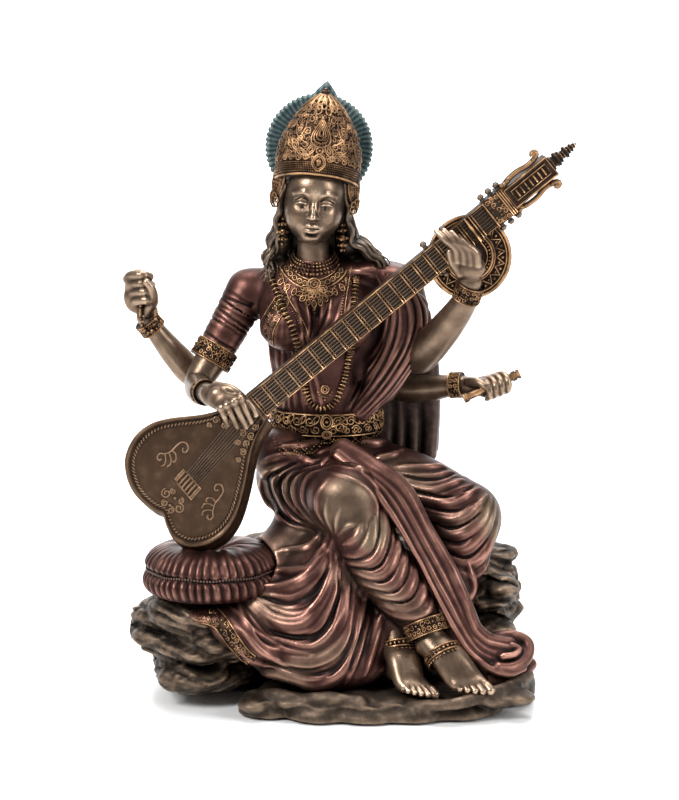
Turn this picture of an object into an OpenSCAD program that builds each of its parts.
// Seated four-armed goddess with a lute: a cold-cast bronze figurine.
// Millimetres, +Z up, the viewer looks along +Y. The castings locate in each other by
// round tenons in sockets, and are glued.

/* [Base] */
// Thickness of the felt sheet under the base
felt_t = 1; // [0.8:0.1:1.5]
// How far the felt stays inside the edge of the base
felt_inset = 5; // [4:0.5:8]
// Height of the low ground slab in front
slab_h = 9; // [7:0.5:11]

/* [Cushion] */
// Radius of the round cushion
cushion_r = 28; // [26:0.5:29]
// Thickness of the cushion
cushion_h = 21; // [19:0.5:23]
// Number of gathers around the cushion
cushion_gathers = 44; // [30:1:50]

/* [Lute] */
// Length of the neck from the bowl to the head block
neck_len = 127; // [124:0.5:130]
// Width of the neck
neck_w = 11.5; // [10:0.25:12]
// Thickness of the neck
neck_t = 5; // [4:0.25:6]
// Depth of the bowl behind the soundboard
bowl_depth = 15; // [12:0.5:17]
// Number of frets
frets = 19; // [12:1:21]
// Number of strings
strings = 7; // [4:1:8]
// Radius of the upper gourd
gourd_r = 17; // [15:0.5:18]

/* [Crown and halo] */
// Radius of the halo disc
halo_r = 22.5; // [21:0.5:24]
// Thickness of the halo disc
halo_t = 2.4; // [2:0.1:3]
// Number of beads around the halo's rim
halo_beads = 56; // [40:1:60]
// Radius of the crown at its widest
crown_r = 17; // [16:0.1:17.5]
// Lean of the head, crown and halo to the side, in degrees
head_lean = 6; // [3:0.5:8]

/* [Glued joints] */
// Radius of the arm tenons
tenon_r = 2.5; // [2:0.1:3]
// Radius of the neck tenon
neck_tenon_r = 4; // [3:0.1:4.5]
// Length of every tenon
tenon_len = 8; // [6:0.5:9]
// Radial room for the glue in a socket
glue_gap = 0.1; // [0.05:0.05:0.2]

/* [Hidden] */
round_fn = 48;    // fineness of the true round parts
clay_fn = 10;     // fineness of the balls inside a hull
finger_fn = 8;    // and of the fingers, toes and small folds

// Where the figure's joints are
hip_r = [-22, 10, 88];
knee_r = [3, -24, 80];
ankle_r = [34, -43, 32];
hip_l = [10, 12, 90];
knee_l = [54, -4, 71];
ankle_l = [22, -35, 29];
waist = [-9.5, 15, 113];
ribs = [-12, 15, 138];
chest = [-12.5, 15, 157];
shoulder_r = [-40, 16, 169];
shoulder_l = [17, 17, 170];
neck_base = [-13.5, 7, 178];
head_c = [-14, 4, 206];
elbow_fr = [-62, 6, 132];
wrist_fr = [-56, -26, 131];
hand_fr = [-48, -38, 129];
elbow_rr = [-60, 25, 128];
wrist_rr = [-85, 20, 154];
hand_rr = [-89, 18, 168];
elbow_fl = [29, 7, 140];
wrist_fl = [49.5, -14, 168];
hand_fl = [50.5, -18, 184];
elbow_rl = [22, 26, 125];
wrist_rl = [47, 16, 127];
hand_rl = [60, 11, 127];
cushion_c = [-57, -20, 56];
halo_c = [-11.5, 24.3, 228];
lute_joint = [-39.76, -30, 124.5];
lute_lean = 38.6;
lute_yaw = 8;
gourd_c = [110, -9];    // along and across the neck

function unit(v) = v / norm(v);
function mid(a, b, t = 0.5) = a + (b - a) * t;

module ball(p, r, fn = clay_fn) translate(p) sphere(r, $fn = fn);
module egg(p, r) translate(p) scale(r) sphere(1, $fn = clay_fn + 6);

// A run of blended balls; each stop is [point, radius].
module limb(stops, fn = clay_fn) for (i = [0:len(stops) - 2]) hull() {
    ball(stops[i][0], stops[i][1], fn);
    ball(stops[i + 1][0], stops[i + 1][1], fn);
}

// A run of blended eggs; each stop is [point, [rx, ry, rz]].
module bulk(stops) for (i = [0:len(stops) - 2]) hull() {
    egg(stops[i][0], stops[i][1]);
    egg(stops[i + 1][0], stops[i + 1][1]);
}

// Turns +Z along a vector, at a point.
module aim(p, v) translate(p)
    rotate([0, acos(unit(v)[2]), atan2(v[1], v[0])]) children();

module tenon(p, v, r = tenon_r) aim(p, v) translate([0, 0, -tenon_len / 2])
    cylinder(r = r, h = tenon_len, $fn = round_fn);

// A band around a limb.
module band(p, v, r_in, r_out, width) aim(p, v)
    rotate_extrude($fn = round_fn) translate([r_in, -width / 2])
        square([r_out - r_in, width]);

// A ring of round section, squashed across if asked.
module loop_ring(p, v, r, wire) aim(p, v)
    rotate_extrude($fn = round_fn) translate([r, 0]) circle(wire, $fn = 16);

// Beads along a list of points.
module beads(points, r) for (p = points) translate(p) sphere(r, $fn = 16);

module lean() translate(head_c) rotate([0, head_lean, 0]) translate(-head_c) children();

// The lute's own frame: X along the neck from the bowl, Y up across it, Z out of the soundboard.
module lute() translate(lute_joint) rotate([0, 0, lute_yaw]) rotate([0, -lute_lean, 0])
    rotate([90, 0, 0]) children();

// ---- base ----

// Plan outline of the base: [x, y, radius] of the round stones it is drawn around.
base_stones = [[-58, 6, 20], [-42, 30, 24], [0, 36, 26], [42, 30, 26], [52, 6, 20]];
slab_stones = [[-30, -44, 14], [8, -45, 20], [44, -38, 22], [56, -20, 19], [-20, -20, 14]];

module plan(stones, grow) hull() for (s = stones) translate([s[0], s[1]])
    circle(s[2] + grow, $fn = 32);

module felt_pad() color([0.05, 0.05, 0.06]) linear_extrude(felt_t) union() {
    plan(base_stones, -felt_inset);
    plan(slab_stones, -felt_inset);
}

// A broken stone: the hull of chips thrown on an egg.
module stone(c, r, seed) hull() {
    turn = rands(0, 360, 16, seed);
    rise = rands(-1, 1, 16, seed + 50);
    for (i = [0:15]) translate(c + [r[0] * cos(turn[i]) * sqrt(1 - pow(rise[i], 2)),
            r[1] * sin(turn[i]) * sqrt(1 - pow(rise[i], 2)), r[2] * rise[i]])
        cube(2, center = true);
}

module rocks() {
    stone([-68, 2, 24], [22, 26, 22], 11);
    stone([-58, 24, 22], [26, 30, 28], 12);
    stone([-54, -14, 22], [30, 28, 19], 13);
    stone([-66, -14, 30], [22, 25, 10], 23);
    stone([-44, -26, 14], [24, 20, 12], 24);
    stone([-62, -15, 36], [23, 25, 12], 26);
    stone([-28, 34, 30], [32, 28, 36], 14);
    stone([0, 35.9, 34], [34, 29, 42], 15);
    stone([32, 34, 32], [30, 30, 38], 16);
    stone([55, 22, 28], [23, 28, 27], 17);
    stone([59, 6, 24], [18, 23, 21], 18);
    stone([60, -8, 16], [15, 18, 14], 25);
    stone([-14, 6, 30], [34, 30, 36], 19);
    stone([26, 6, 30], [34, 26, 32], 20);
    stone([-34, -6, 16], [30, 26, 22], 21);
    for (s = base_stones) translate([s[0], s[1], felt_t]) cylinder(r = s[2], h = 14, $fn = 24);
}

// The round of space the cushion fills, down to its seat on the rock.
module cushion_seat() translate(cushion_c - [0, 0, cushion_h / 2])
    cylinder(r = cushion_r + 0.3, h = cushion_h * 2, $fn = 32);

module rock_base() color([0.2, 0.16, 0.11]) difference() {
    rocks();
    translate([-200, -200, -200]) cube([400, 400, 200 + felt_t]);
    legs();
    cushion_seat();
    slab();
}

module slab() difference() {
    for (i = [0:len(slab_stones) - 1]) hull() {
        s = slab_stones[i];
        t = slab_stones[(i + 1) % len(slab_stones)];
        for (q = [s, t]) translate([q[0], q[1], felt_t]) {
            cylinder(r = q[2], h = slab_h * 0.55, $fn = 20);
            cylinder(r = q[2] - 4, h = slab_h, $fn = 20);
        }
        translate([14, -26, felt_t]) cylinder(r = 8, h = slab_h, $fn = 20);
    }
    limb(front_foot_stops);
    limb(rear_foot_stops);
}

module ground_slab() color([0.23, 0.18, 0.12]) difference() {
    union() {
        slab();
        for (i = [0:2]) hull() {
            ball([-30 + i * 16, -50, 5], 4);
            ball([-24 + i * 16, -44, 6], 4);
        }
    }
    translate([-200, -200, -200]) cube([400, 400, 200 + felt_t]);
}

// ---- cushion ----

module cushion() color([0.3, 0.1, 0.12]) translate(cushion_c) difference() {
    union() {
        rotate_extrude($fn = round_fn) union() {
            for (side = [-1, 1]) hull() {
                translate([cushion_r - cushion_h * 0.27, side * cushion_h * 0.23])
                    circle(cushion_h * 0.27, $fn = 24);
                translate([0, side * cushion_h * 0.23 - cushion_h * 0.27])
                    square([1, cushion_h * 0.54]);
            }
        }
    }
    for (i = [0:cushion_gathers - 1]) rotate([0, 0, i * 360 / cushion_gathers])
        translate([cushion_r + 0.1, 0, -cushion_h / 2]) cylinder(r = 0.5, h = cushion_h, $fn = 16);
}

// ---- draped legs and feet ----

front_foot_stops = [[ankle_r + [0, 2, 6], 6.5], [ankle_r + [1, 1, -4], 7], [ankle_r + [-1, 3, -14], 6.5],
    [ankle_r + [8, -5, -14], 7], [ankle_r + [17, -11, -18], 5.6], [ankle_r + [23, -14, -20.5], 3.6]];
rear_foot_stops = [[ankle_l + [1, 1, 5], 6], [ankle_l + [-2, 1, -5], 6.4], [ankle_l + [-4, 2, -11], 5.6],
    [ankle_l + [4, -8, -13], 5.6], [ankle_l + [9, -16, -17], 4.8], [ankle_l + [13, -21, -19], 3]];

module legs() {
    limb([[hip_r, 19], [mid(hip_r, knee_r), 19.5], [knee_r, 17], [mid(knee_r, ankle_r), 14], [ankle_r + [0, 3, 10], 9]]);
    limb([[hip_l, 19], [mid(hip_l, knee_l), 19], [knee_l, 15.5], [mid(knee_l, ankle_l), 12], [ankle_l + [2, 4, 10], 9]]);
    hull() {
        ball(hip_r, 18);
        ball(hip_l, 18);
        egg([-8, 16, 100], [24, 17, 8]);
    }
    hull() {
        ball(mid(hip_r, knee_r, 0.8), 15);
        ball(mid(hip_l, knee_l, 0.5), 15);
        ball([4, 2, 60], 14);
    }
    hull() {
        ball(mid(knee_r, ankle_r, 0.3) + [0, 10, 0], 10);
        ball(mid(knee_l, ankle_l, 0.2), 10);
        ball([30, -16, 26], 12);
        ball([10, -18, 24], 12);
    }
    hull() {
        ball([-24, -12, 62], 12);
        ball([-30, -24, 24], 10);
        ball([0, -26, 20], 12);
        ball([-2, -22, 56], 14);
    }
    hull() {
        ball(knee_l + [-2, 2, -15], 11);
        ball([46, -20, 30], 9);
        ball([22, -18, 44], 12);
    }
    hull() {
        ball([-34, 0, 72], 10);
        ball([-34, -14, 46], 9);
        ball([-20, -14, 66], 12);
    }
}

module lower_body() color([0.3, 0.14, 0.13]) difference() {
    legs();
    limb(front_foot_stops);
    limb(rear_foot_stops);
    aim(waist + [1, 0, -17], [0, 0, 1]) cylinder(r = 8 + glue_gap, h = 12, $fn = round_fn);
    cushion_seat();
    slab();
}

module front_foot() color([0.42, 0.32, 0.22]) union() {
    limb(front_foot_stops);
    for (i = [0:4]) hull() {
        ball(ankle_r + [14 + i * 2.2, -16 + i * 2.6, -20.5], 2, finger_fn);
        ball(ankle_r + [21 + i * 1.6, -19 + i * 2.7, -21.5], 1.9 + i * 0.15, finger_fn);
    }
}

module rear_foot() color([0.42, 0.32, 0.22]) difference() {
    union() {
        limb(rear_foot_stops);
        for (i = [0:4]) hull() {
            ball(ankle_l + [7 + i * 1.5, -17 + i * 0.9, -19], 1.6, finger_fn);
            ball(ankle_l + [9 + i * 1.7, -23 + i * 1.2, -20.5], 1.5 + i * 0.1, finger_fn);
        }
    }
    limb(front_foot_stops);
}

// The pleats that sweep from under the right knee to the lower left, and the cloth between them.
pleat_top = knee_r + [-2, -12, -14];
pleat_feet = [[-60, -37, 37], [-48, -43, 27], [-38, -49, 16], [-24, -54, 13], [-8, -56, 12], [8, -55, 12],
    [20, -48, 14]];
function pleat(f) = [[pleat_top, 3.6], [mid(pleat_top, f, 0.35) + [0, -2, -5], 4.2],
    [mid(pleat_top, f, 0.7) + [-1, -1, -6], 4.4], [f, 3.8]];
module front_pleats() color([0.34, 0.16, 0.15]) difference() {
    union() {
        for (f = pleat_feet) limb(pleat(f), finger_fn);
        for (i = [0:len(pleat_feet) - 2]) for (j = [0:2]) let (p = pleat(pleat_feet[i]), q = pleat(pleat_feet[i + 1]))
            hull() for (c = [p[j], p[j + 1], q[j], q[j + 1]]) ball(c[0] + [0, 3, 0], 3, 8);
    }
    legs();
    slab();
    limb(rear_foot_stops);
    limb(front_foot_stops);
    cushion_seat();
}

// The sash from the lap, between the knees and down to its curl on the ground.
sash_path = [[-4, -14, 95], [14, -22, 86], [26, -30, 72], [36, -36, 56], [47, -40, 38], [57, -40, 24],
    [68, -34, 17], [71, -26, 20]];
module diagonal_sash() color([0.36, 0.17, 0.15]) difference() {
    for (side = [-1, 0, 1]) limb([for (i = [0:len(sash_path) - 1])
        [sash_path[i] + side * [3.2, 2.4, 1.6] * min(1, 0.3 + i * 0.16), 3.2]], finger_fn);
    legs();
    limb(front_foot_stops);
    slab();
}

// ---- body ----

module trunk() {
    bulk([[waist + [1, 0, -11], [23, 16, 6]], [waist, [21, 14, 8]], [ribs, [21, 14.5, 11]],
        [chest, [24, 14.5, 10]]]);
    hull() {
        egg(chest + [0, 0, 6], [22, 12, 9]);
        ball(shoulder_r + [3, 0, 0], 8.5);
        ball(shoulder_l - [3, 0, 0], 8.5);
    }
    hull() {
        egg(chest + [0, -3, 6], [16, 10, 9]);
        ball(neck_base, 8);
    }
    for (side = [-1, 1]) hull() {
        egg(chest + [side * 12, -8, -1], [11, 10.5, 10.5]);
        egg(chest + [side * 11, 0, 4], [12, 9, 12]);
    }
}

module torso() color([0.4, 0.18, 0.17]) difference() {
    union() {
        trunk();
        translate(waist + [1, 0, -17]) cylinder(r = 8, h = 12, $fn = round_fn);
    }
    aim(neck_base + [0, 0, 6], [0, 0, 1]) translate([0, 0, -tenon_len])
        cylinder(r = neck_tenon_r + glue_gap, h = tenon_len * 2, $fn = round_fn);
    for (a = [[shoulder_r, elbow_fr], [shoulder_l, elbow_fl]]) {
        ball(a[0] + [sign(a[0][0] - chest[0]) * 2, 0, -1], 9.6);
        tenon(a[0] - [sign(a[0][0] - chest[0]) * 8, 0, 1], [1, 0, 0], tenon_r + glue_gap);
    }
    rear_upper_right();
    rear_upper_left();
    legs_top();
}

module legs_top() difference() {
    legs();
    translate(waist + [1, 0, -17]) cylinder(r = 8.1, h = 12, $fn = round_fn);
}

module back_drape() color([0.2, 0.11, 0.11]) difference() {
    union() {
        for (i = [0:4]) limb([[[6 + i * 5.5, 27, 166 - i * 5], 3.4], [[8 + i * 6, 34, 140], 3.6],
            [[8 + i * 6, 36, 115], 3.6], [[9 + i * 5.4, 35, 94], 3.4]], finger_fn);
    }
    trunk();
    legs();
    rear_upper_left();
    limb(front_left_stops);
}

// Gold border of the sari, from the right armpit up over the left shoulder.
border_path = [[-37, 8, 152], [-34, -0.5, 160], [-29, -4, 167], [-21, -3.5, 173], [-14, -1, 177]];
module shoulder_border() color([0.7, 0.48, 0.22]) difference() {
    for (side = [-1, 1]) limb([for (p = border_path) [p + side * [1.7, -1, -2.4], 2.4]], finger_fn);
    trunk();
    limb(front_right_stops);
}

hem_path = [[-69, -40, 37], [-60, -43, 35], [-50, -47, 28], [-42, -52, 19], [-36, -56, 13]];
module hem_border() color([0.6, 0.42, 0.2]) difference() {
    for (side = [-1, 1]) limb([for (p = hem_path) [p + side * [0.8, 0, 1.8], 1.9]], 8);
    for (f = pleat_feet) limb(pleat(f), finger_fn);
    slab();
    rocks();
    cushion_seat();
}

// ---- head ----

module skull() lean() {
    hull() {
        egg(head_c + [0, 2, 3], [14, 16, 15]);
        egg(head_c + [0, -3, -5], [11, 11.5, 9.5]);
    }
    hull() {
        egg(head_c + [0, -3, -5], [11, 11.5, 9.5]);
        egg(head_c + [0, -8, -11], [5, 4.5, 4.4]);
    }
    hull() {
        ball(head_c + [0, -12, 2], 1.6);
        ball(head_c + [0, -14.6, -4], 1.7);
    }
}

module head() color([0.45, 0.34, 0.24]) difference() {
    union() {
        skull();
        limb([[head_c + [0, 0, -6], 7], [head_c + [0, 2, -14], 7], [neck_base + [0, 0, 8], 7.4]]);
        for (side = [-1, 1]) hull() {
            ball(head_c + [side * 13, 4, 2], 2);
            ball(head_c + [side * 13, 3, -4], 1.6);
        }
        for (side = [-1, 1]) hull() {
            ball(head_c + [side * 5, -10, 1], 2.2);
            ball(head_c + [side * 7, -10, 1], 2);
        }
        translate([neck_base[0], neck_base[1], neck_base[2] + 9 - tenon_len])
            cylinder(r = neck_tenon_r, h = tenon_len, $fn = round_fn);
    }
    crown_cup();
    trunk_above();
}

module trunk_above() difference() {
    trunk();
    aim(neck_base + [0, 0, 6], [0, 0, 1]) translate([0, 0, -tenon_len])
        cylinder(r = neck_tenon_r + glue_gap, h = tenon_len * 2, $fn = round_fn);
}

module hair() color([0.28, 0.22, 0.17]) difference() {
    union() {
        lean() bulk([[head_c + [0, 5, 6], [15.5, 15, 12]], [head_c + [0, 9, -6], [15, 11, 12]]]);
        bulk([[head_c + [0.3, 9, -6.4], [14.7, 11.2, 12]], [[-13, 20, 182], [17, 9, 12]],
            [[-13, 26, 160], [15, 6, 12]], [[-13, 29, 140], [10, 4, 10]]]);
        limb([[head_c + [-14, 4, 0], 4], [[-32, 7, 194], 4.5], [[-37, 7, 183], 4.5], [[-43, 9, 177], 4]]);
        limb([[head_c + [14, 4, 0], 4], [[5, 7, 194], 4.5], [[11, 7, 184], 4.8], [[20, 10, 179], 4.5]]);
        limb([[[20, 10, 179], 4.5], [[24, 14, 173], 3.4]]);
    }
    skull();
    trunk();
    limb([[head_c + [0, 0, -6], 7], [head_c + [0, 2, -14], 7], [neck_base + [0, 0, 8], 7.4]]);
    crown_cup();
    limb(front_right_stops);
    limb(front_left_stops);
    halo_blank(0.2);
}

crown_z = 12;     // of the crown's lower edge above the head's centre
module crown_cup() lean() translate(head_c + [0, 2, crown_z]) cylinder(r = crown_r - 1, h = 60, $fn = 32);

module crown() color([0.55, 0.38, 0.18]) lean() translate(head_c + [0, 2, crown_z]) rotate_extrude($fn = round_fn)
    polygon([[0, 0], [crown_r - 1.2, 0], [crown_r - 0.6, 1], [crown_r, 6], [crown_r - 0.1, 9], [crown_r - 1, 14],
        [crown_r - 2.7, 19], [crown_r - 5.4, 24], [crown_r - 9.2, 29], [crown_r - 12.6, 32], [crown_r - 14.6, 34],
        [0, 35]]);

module crown_jewel() color([0.75, 0.5, 0.22]) lean() {
    for (j = [[7, 3, -17.4], [19, 4, -15.8]]) hull() {
        ball(head_c + [0, j[2] + 2, crown_z + j[0]], j[1] * 0.8);
        ball(head_c + [0, j[2] + 2.4, crown_z + j[0] + 3], j[1] * 0.4);
    }
}

module ear_flowers() color([0.6, 0.42, 0.2]) lean() for (side = [-1, 1])
    hull() {
        ball(head_c + [side * 15.4, 0, 4], 2.6);
        ball(head_c + [side * 16.4, 1, 11], 3);
    }

module earrings() color([0.75, 0.48, 0.2]) lean() for (side = [-1, 1]) {
    beads([for (i = [0:2]) head_c + [side * 14.6, -1, -5 - i * 3]], 1.7 + 0.2);
}

module halo_blank(grow) lean() translate([halo_c[0], halo_c[1], halo_c[2]]) rotate([90, 0, 0])
    cylinder(r = halo_r + grow, h = halo_t + grow, center = true, $fn = round_fn);

module halo() color([0.16, 0.3, 0.32]) lean() translate(halo_c) rotate([90, 0, 0]) union() {
    cylinder(r = halo_r, h = halo_t, center = true, $fn = round_fn);
    for (i = [0:halo_beads - 1]) rotate([0, 0, i * 360 / halo_beads]) translate([halo_r, 0, 0])
        cylinder(r = 1, h = halo_t * 0.8, center = true, $fn = 16);
    linear_extrude(halo_t, center = true)
        polygon([[-8, halo_r - 3], [-4, halo_r + 2], [0, halo_r + 6], [4, halo_r + 2], [8, halo_r - 3]]);
}

// ---- arms ----

front_right_stops = [[shoulder_r + [-2, 0, -1], 9.4], [mid(shoulder_r, elbow_fr, 0.3), 8], [mid(shoulder_r, elbow_fr, 0.7), 7.6],
    [elbow_fr, 5.6], [mid(elbow_fr, wrist_fr, 0.5), 5.2], [wrist_fr, 3.8]];
rear_right_stops = [[mid(shoulder_r, elbow_rr, 0.5), 6.4], [elbow_rr, 6.2], [mid(elbow_rr, wrist_rr, 0.4), 5.8], [wrist_rr, 3.9]];
front_left_stops = [[shoulder_l + [2, 0, -1], 9.4], [mid(shoulder_l, elbow_fl, 0.5), 8.6], [elbow_fl, 7.4],
    [mid(elbow_fl, wrist_fl, 0.5), 6], [wrist_fl, 4]];
rear_left_stops = [[[14, 26, 148], 6.2], [elbow_rl, 6.2], [mid(elbow_rl, wrist_rl, 0.5), 5.4], [wrist_rl, 4]];

module rear_upper_right() limb([[[-36, 24, 158], 6.2], [mid(shoulder_r, elbow_rr, 0.5), 6.4], [elbow_rr, 6.2]]);
module rear_upper_left() limb([[[10, 25, 158], 6.2], [[14, 26, 148], 6.2], [elbow_rl, 6.2]]);

// Four fingers and a thumb, each a run of short bones.
module fingers(root, step, run, curl, r) for (i = [0:3])
    limb([[root + step * i, r], [root + step * i + run, r * 0.92], [root + step * i + run + curl, r * 0.8]],
        finger_fn);

module front_right_arm() color([0.43, 0.3, 0.24]) difference() {
    union() {
        limb(front_right_stops);
        bulk([[wrist_fr, [3.8, 4, 3]], [hand_fr, [4.6, 4.6, 2.8]]]);
        fingers(hand_fr + [-3, -1.4, -1], [1.9, 0.2, 0.7], [2, -2.4, -3.6], [1.6, 0.2, -4], 1.3);
        limb([[hand_fr + [3, 1, 1], 1.5], [hand_fr + [8, 0.5, -2], 1.3], [hand_fr + [10, 0, -4], 1.1]]);
        tenon(shoulder_r + [6, 0, -1], [1, 0, 0]);
    }
    lute_body_cut();
}

module lute_body_cut() lute() translate([-70, -40, -30]) cube([300, 80, 32.4]);

module rear_right_arm() color([0.4, 0.31, 0.22]) difference() {
    union() {
        rear_upper_right();
        limb(rear_right_stops);
        bulk([[wrist_rr, [3.6, 4, 4]], [hand_rr + [0, 0, -3], [3.8, 5.4, 5]], [hand_rr + [0.5, 0, 3], [3.6, 5.4, 4]]]);
        fingers(hand_rr + [-0.5, -3, -3], [0.5, 0.4, 2.7], [4.6, -1.6, 0.4], [2.2, 1.6, -0.6], 1.5);
        limb([[hand_rr + [0, -4, -5], 1.5], [hand_rr + [3, -5, -3], 1.4], [hand_rr + [5, -4, 0], 1.2]]);
    }
    ball(shoulder_r + [-2, 0, -1], 9.5);
    limb(front_right_stops);
}

module front_left_arm() color([0.43, 0.32, 0.24]) difference() {
    union() {
        limb(front_left_stops);
        bulk([[wrist_fl, [3.8, 4, 4]], [hand_fl, [5, 3.6, 6.4]], [hand_fl + [1, -1, 4], [5.4, 3.4, 4]]]);
        fingers(hand_fl + [-4, -2.4, 6], [2.5, 0, -0.6], [-0.6, -1.6, 4.2], [-1.4, 0, 4.6], 1.45);
        limb([[hand_fl + [-4, -2, 0], 1.7], [hand_fl + [-6.5, -3, 5], 1.5], [hand_fl + [-6, -3.6, 9], 1.3]]);
        tenon(shoulder_l + [-6, 0, -1], [1, 0, 0]);
    }
    lute() translate([60, -neck_w / 2 - 0.1, -neck_t]) cube([100, neck_w + 0.2, neck_t + 1.1]);
    lute() translate([gourd_c[0], gourd_c[1], -neck_t - 20]) cylinder(r = gourd_r + 0.2, h = 21.4, $fn = 24);
}

module rear_left_arm() color([0.36, 0.25, 0.19]) difference() {
    union() {
        rear_upper_left();
        limb(rear_left_stops);
        bulk([[wrist_rl, [4, 3.8, 3.8]], [hand_rl, [5.4, 4.6, 3.8]]]);
        fingers(hand_rl + [-3, -4, -2], [2.8, -0.1, 0.9], [0.6, -2.6, 2], [0.4, 1.4, 2.4], 1.45);
        limb([[hand_rl + [-6, -3, 2], 1.7], [hand_rl + [-1, -4.6, 3.4], 1.6], [hand_rl + [4, -4.4, 4.4], 1.3]]);
    }
    ball(shoulder_l + [2, 0, -1], 9.5);
    limb(front_left_stops);
    roll_core(0.05);
}

module roll_core(grow) aim(hand_rl + [1, -2, 1.6], [21, 2, 9]) cylinder(r = 1.6 + grow, h = 25, center = true, $fn = round_fn);
module manuscript_roll() color([0.7, 0.46, 0.22]) union() {
    roll_core(0);
    aim(hand_rl + [11.6, -1, 6.1], [21, 2, 9]) cylinder(r = 2.1, h = 2.5, center = true, $fn = round_fn);
}

// ---- jewellery ----

module armlet() color([0.7, 0.48, 0.22])
    band(mid(shoulder_r, elbow_fr, 0.7), elbow_fr - shoulder_r, 7.8, 9.4, 9.5);
module front_right_bracelet() color([0.6, 0.44, 0.24])
    band(mid(elbow_fr, wrist_fr, 0.82), wrist_fr - elbow_fr, 4.8, 6, 4.4);
module rear_right_bracelet() color([0.6, 0.44, 0.24])
    band(mid(elbow_rr, wrist_rr, 0.86), wrist_rr - elbow_rr, 4.7, 6, 4.2);
module front_left_bracelet() color([0.6, 0.44, 0.24])
    band(mid(elbow_fl, wrist_fl, 0.9), wrist_fl - elbow_fl, 4.7, 6.2, 6);
module rear_left_bracelet() color([0.6, 0.44, 0.24])
    band(mid(elbow_rl, wrist_rl, 0.86), wrist_rl - elbow_rl, 4.7, 6, 5);
module finger_ring() color([0.75, 0.5, 0.22]) band(hand_fr + [-2, -3, -3.2], [2, -2.4, -3.6], 1.35, 1.9, 1.2);
module ankle_cuff() color([0.65, 0.46, 0.22]) band(ankle_r + [0.4, 1.6, 5.4], [0.2, -0.2, 1], 6.9, 8.2, 5);
module front_anklet() color([0.65, 0.46, 0.22]) loop_ring(ankle_r + [1, 0.6, -4.6], [-0.2, 0.35, 1], 8, 1.3);
module rear_anklet() color([0.65, 0.46, 0.22]) loop_ring(ankle_l + [-1.5, 1, -2.4], [-0.2, 0.3, 1], 7.4, 1.2);

// A ring lying on the shoulders that dips in front.
function collar_point(a, r, drop) = [neck_base[0] + r * sin(a), neck_base[1] + 4 - r * 0.86 * cos(a),
    neck_base[2] + 4 - drop * (0.5 + 0.5 * cos(a))];
module bead_choker() color([0.7, 0.48, 0.22])
    beads([for (a = [-126:10.5:126]) collar_point(a, 11, 5)], 0.92);

// The plate collar below the choker, a tilted dished ring.
module collar_necklace() color([0.7, 0.48, 0.22]) translate(neck_base + [0, 1, 1]) rotate([22, 0, 0])
    rotate_extrude($fn = round_fn) polygon([[10.4, 0.6], [15, -4.6], [16.2, -4.2], [16.2, -2.6], [11.2, 2.4]]);

garland_path = [[-31, 4, 176], [-31, -3.5, 168], [-27, -7.5, 158], [-24, -7, 148], [-22, -3, 138], [-18, -2.5, 128],
    [-11, -3, 122], [-3, -2.5, 128], [2, -3, 138], [4, -7, 149], [5, -8, 158], [6, -4, 168], [5, 4, 176]];
module long_garland() color([0.68, 0.46, 0.2])
    for (i = [0:len(garland_path) - 2]) for (t = [0:0.25:0.99])
        translate(mid(garland_path[i], garland_path[i + 1], t)) sphere(1, $fn = 16);

module waist_belt() color([0.6, 0.42, 0.2]) translate(waist + [0.5, 0, -2]) scale([1, 0.7, 1]) difference() {
    cylinder(r = 25.2, h = 9, center = true, $fn = round_fn);
    cylinder(r = 22.6, h = 10, center = true, $fn = round_fn);
}

function swag_point(a, dip) = waist + [0.5 + 25.4 * sin(a), -18.4 * cos(a), -6 - dip];
module belt_swags() color([0.6, 0.42, 0.2]) for (s = [-2:1]) beads([for (t = [0:0.125:0.99])
    swag_point((s + t) * 34, 7.2 * t * (1 - t) * 4 + 1)], 0.62);

// The string of beads that hangs from the rear right hand.
module prayer_beads() color([0.62, 0.42, 0.2]) beads([for (a = [0:22.5:359])
    let (b = a + 18 * sin(2 * a)) hand_rr + [6.5 + 3.6 * sin(b), -3, -9 + 10.5 * cos(b)]], 0.7);

// ---- lute ----

// Heart outline of the bowl: two lobes [along, across, radius] with a shallow notch between them.
lobes = [[-39, 3, 20.5], [-40, -15.5, 19]];
lobe_mid = -6;
module heart(grow) for (l = lobes) hull() {
    translate([l[0], l[1]]) circle(l[2] + grow, $fn = 48);
    translate([0, 0]) circle(6.4 + grow, $fn = 32);
}

module lute_bowl() color([0.3, 0.22, 0.16]) lute() difference() {
    union() {
        for (layer = [0:4]) let (a = layer * 18, b = (layer + 1) * 18)
            hull() for (q = [a, min(b, 88)]) {
                for (l = lobes) translate([l[0], lobe_mid + (l[1] - lobe_mid) * cos(q), -1.6 - bowl_depth * sin(q)])
                    cylinder(r = (l[2] - 1) * cos(q) + 1, h = 0.1, $fn = 40);
                translate([0, 0, -1.6 - neck_t * 1.1 * sin(q)]) cylinder(r = 6.2 * cos(q) + 0.4, h = 0.1, $fn = 24);
            }
    }
    translate([2, -neck_w / 2 - 0.05, -neck_t - 1]) cube([20, neck_w + 0.1, neck_t + 1]);
}

module lute_soundboard() color([0.38, 0.28, 0.19]) lute() difference() {
    translate([0, 0, -1.5]) linear_extrude(1.5) union() heart(0.6);
    translate([2, -neck_w / 2 - 0.05, -neck_t]) cube([20, neck_w + 0.1, neck_t + 1]);
}

module lute_neck() color([0.33, 0.26, 0.19]) lute() translate([2, -neck_w / 2, -neck_t])
    cube([neck_len - 2, neck_w, neck_t]);

fret_gap = 5;
module lute_frets() color([0.6, 0.42, 0.22]) lute() for (i = [0:frets - 1])
    translate([4 + i * fret_gap, 0, 0]) rotate([90, 0, 0])
        cylinder(r = 0.6, h = neck_w, center = true, $fn = 16);

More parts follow.
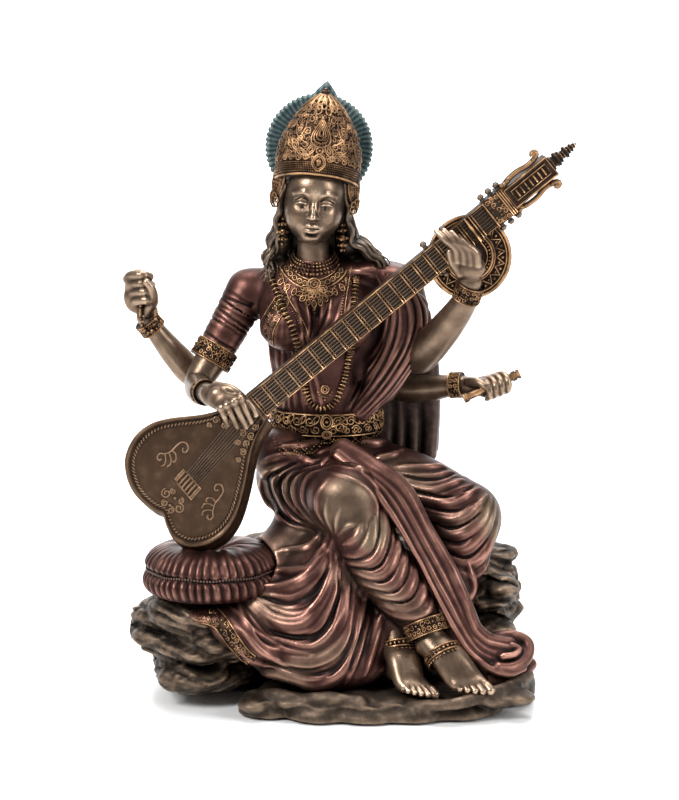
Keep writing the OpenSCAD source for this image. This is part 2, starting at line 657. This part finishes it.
string_pitch = 1.1;
module lute_strings() color([0.5, 0.4, 0.28]) lute() for (i = [0:strings - 1])
    translate([-37, (i - (strings - 1) / 2) * string_pitch, 0.9]) rotate([0, 90, 0])
        cylinder(r = 0.16, h = neck_len + 37, $fn = 16);

module lute_bridge() color([0.42, 0.32, 0.22]) lute() translate([-38, 0, 0]) union() {
    translate([-2.2, -7, 0]) cube([4.4, 14, 0.7]);
    for (i = [0:6]) translate([-1.6, -6 + i * 2 - 0.45, 0]) cube([3.2, 0.9, 1.3]);
}

module lute_tailpiece() color([0.42, 0.32, 0.22]) lute() {
    for (side = [-1, 1]) translate([-47, side * 3.4, 0]) rotate_extrude($fn = round_fn)
        translate([2.2, 0]) circle(0.6, $fn = 16);
    for (side = [-1, 1]) translate([-33, side * 15, 0]) rotate_extrude(angle = 250, $fn = round_fn)
        translate([3.4, 0]) circle(0.6, $fn = 16);
}

module lute_gourd() color([0.4, 0.29, 0.18]) lute() translate([gourd_c[0], gourd_c[1], -neck_t - 0.2]) rotate([180, 0, 0])
    intersection() {
        scale([1, 1, 0.8]) sphere(gourd_r, $fn = 40);
        cylinder(r = gourd_r + 1, h = gourd_r, $fn = 40);
    }

module gourd_rings() color([0.6, 0.42, 0.22]) lute() translate([gourd_c[0], gourd_c[1], -neck_t - 0.2]) difference() {
    rotate_extrude($fn = round_fn) polygon([[gourd_r - 6.5, 0], [gourd_r - 0.2, 0], [gourd_r - 0.4, 0.8],
        [gourd_r - 6, 1.4], [gourd_r - 6.5, 1.2]]);
    translate([-30, -gourd_c[1] - neck_w / 2 - 0.1, 0.2]) cube([60, neck_w + 0.2, 3]);
}

block_len = 7.5;
module head_block() color([0.5, 0.36, 0.2]) lute() union() {
    translate([neck_len, -neck_w / 2 - 0.4, -neck_t - 0.6]) cube([block_len, neck_w + 0.8, neck_t + 1.6]);
    translate([neck_len + block_len, -neck_w / 2 - 0.9, -neck_t - 1]) cube([2.2, neck_w + 1.8, neck_t + 2.4]);
}

box_x = neck_len + block_len + 2.2;
box_len = 23;
module peg_box() color([0.3, 0.24, 0.18]) lute() difference() {
    translate([box_x, -4.8, -6]) cube([box_len, 9.6, 7]);
    translate([box_x + 2, -3.2, 0]) cube([box_len - 4, 6.4, 2]);
}

// Peg heads: [place along the lute, side].
peg_places = [[128.5, 1], [132.5, 1], [136.5, 1], [128.5, -1], [132.5, -1], [136.5, -1], [98, 1], [108, 1], [98, -1]];
module tuning_pegs() color([0.35, 0.28, 0.22]) lute() for (p = peg_places)
    translate([p[0], p[1] * (neck_w / 2 + 1.1), -2]) {
        rotate([90, 0, 0]) cylinder(r = 0.7, h = 1.8, center = true, $fn = 16);
        translate([0, p[1] * 1.3, 0]) sphere(1.35, $fn = 24);
    }

module side_scrolls() color([0.36, 0.29, 0.22]) lute() for (side = [-1, 1])
    translate([box_x, side * 4.9, -2.4]) {
        translate([3, side * 2.2, 0]) rotate([0, 90, 0]) cylinder(r = 1.1, h = 15, $fn = 20);
        translate([3, side * 1, 0]) rotate([90, 0, 0]) cylinder(r = 1.1, h = 2.4, center = true, $fn = 20);
        translate([20, side * 2, 0]) rotate_extrude($fn = round_fn) translate([1.9, 0]) circle(1, $fn = 16);
    }

module finial() color([0.5, 0.38, 0.24]) lute() translate([box_x + box_len, 0, -2.5]) rotate([0, 90, 0])
    rotate_extrude($fn = round_fn) polygon([[0, 0], [2, 0], [2, 1], [3.6, 1.4], [3.8, 2.4], [3, 3.2], [3.7, 4],
        [3.2, 5], [2, 5.6], [2, 6.6], [2.9, 7.4], [2.6, 8.6], [1.4, 9.2], [1.3, 10.2], [1.7, 11], [1.2, 12.4],
        [0, 13]]);

felt_pad();
rock_base();
ground_slab();
cushion();
lower_body();
front_foot();
rear_foot();
front_pleats();
diagonal_sash();
torso();
back_drape();
shoulder_border();
hem_border();
head();
hair();
crown();
crown_jewel();
ear_flowers();
earrings();
halo();
front_right_arm();
rear_right_arm();
front_left_arm();
rear_left_arm();
armlet();
front_right_bracelet();
rear_right_bracelet();
front_left_bracelet();
rear_left_bracelet();
finger_ring();
ankle_cuff();
front_anklet();
rear_anklet();
bead_choker();
collar_necklace();
long_garland();
waist_belt();
belt_swags();
prayer_beads();
manuscript_roll();
lute_bowl();
lute_soundboard();
lute_neck();
lute_frets();
lute_strings();
lute_bridge();
lute_tailpiece();
lute_gourd();
gourd_rings();
head_block();
peg_box();
tuning_pegs();
side_scrolls();
finial();
